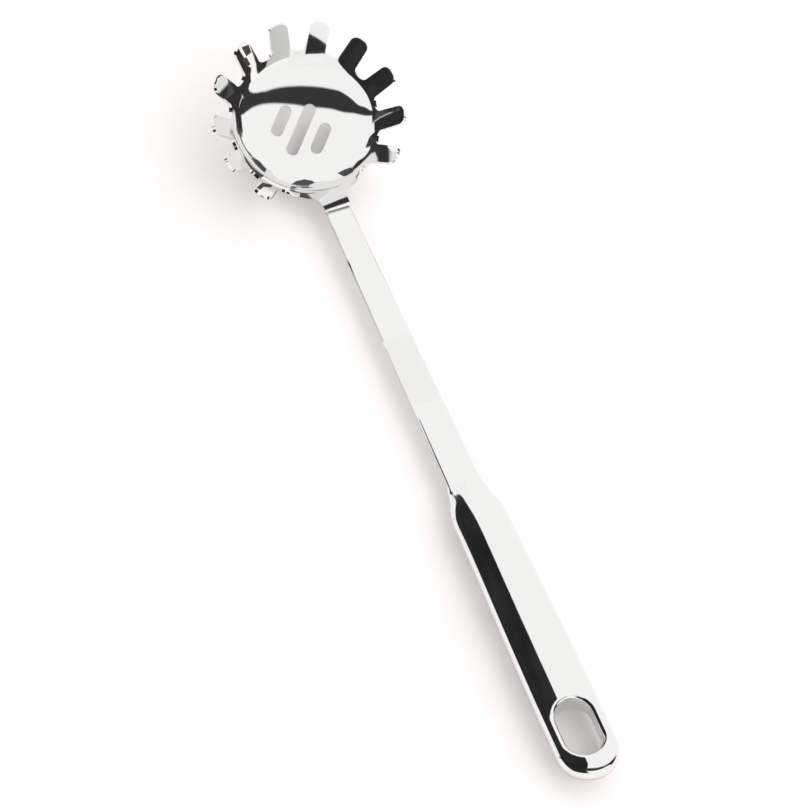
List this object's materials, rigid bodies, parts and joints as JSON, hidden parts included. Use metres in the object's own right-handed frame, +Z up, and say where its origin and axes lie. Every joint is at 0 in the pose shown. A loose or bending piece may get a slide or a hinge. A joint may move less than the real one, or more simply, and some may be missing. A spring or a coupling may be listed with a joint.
{
  "type": "pasta server",
  "caption": "Long-handled steel pasta server: a slotted round bowl ringed with upturned teeth, a flat shank and a hollow oval grip with a hanging hole.",
  "frame": {"origin": "bottom centre of the whole tool as it lies on a table", "axes": "+X along the tool from the toothed head to the end of the grip, +Z up from the table, +Y across the tool"},
  "size_m": [0.3416, 0.077, 0.0394],
  "materials": {
    "polished_steel": "mirror polish on stainless steel",
    "weld": "as welded, hidden between the neck and the bar"
  },
  "bodies": {
    "root": {"bowl_head": "polished_steel", "shank_bar": "polished_steel", "neck_weld_nuggets": "weld", "grip_upper_shell": "polished_steel", "grip_lower_shell": "polished_steel", "hanging_hole_liner": "polished_steel"}
  },
  "joints": []
}
